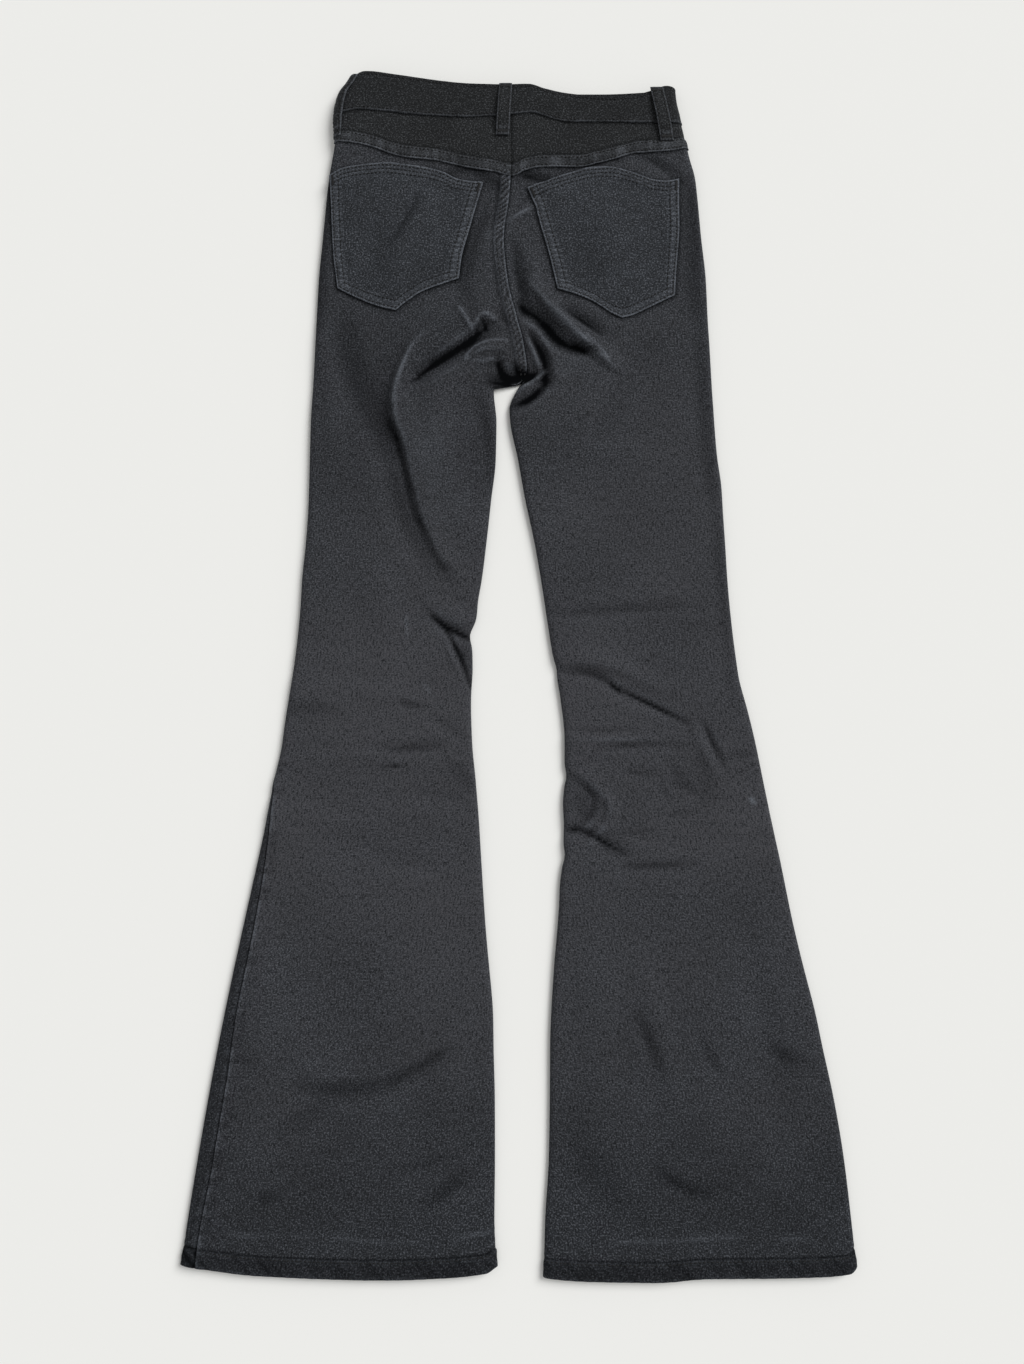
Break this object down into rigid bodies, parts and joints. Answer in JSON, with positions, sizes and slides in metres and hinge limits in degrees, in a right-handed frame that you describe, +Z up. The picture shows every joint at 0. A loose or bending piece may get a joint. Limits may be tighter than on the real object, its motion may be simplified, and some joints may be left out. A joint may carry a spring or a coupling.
{
  "type": "flared jeans",
  "caption": "High-waisted flared denim jeans laid flat with the back facing up, with patch pockets, yoke, waistband and belt loops.",
  "frame": {"origin": "middle of the bottom of the laid garment's box, on the surface that it lies on", "axes": "+Y from the hems to the waist, +X to the wearer's right with the back facing up, +Z up"},
  "size_m": [0.582, 1.115, 0.0149],
  "materials": {
    "denim": "black stretch denim twill, washed, paler on worn edges",
    "denim_band": "black stretch denim twill, several layers, topstitched",
    "tack_metal": "dull antique nickel",
    "thread": "charcoal polyester sewing thread"
  },
  "bodies": {
    "root": {"waistband": "denim_band", "yoke_left": "denim_band", "yoke_right": "denim_band", "back_leg_left": "denim", "back_leg_right": "denim", "front_leg_left": "denim", "front_leg_right": "denim", "back_pocket_left": "denim", "back_pocket_right": "denim", "pocket_facing_left": "denim", "pocket_facing_right": "denim", "fly_shield": "denim", "belt_loop_back_centre": "denim_band", "belt_loop_back_left": "denim_band", "belt_loop_back_right": "denim_band", "belt_loop_front_left": "denim_band", "belt_loop_front_right": "denim_band", "waist_button": "tack_metal"}
  },
  "joints": []
}
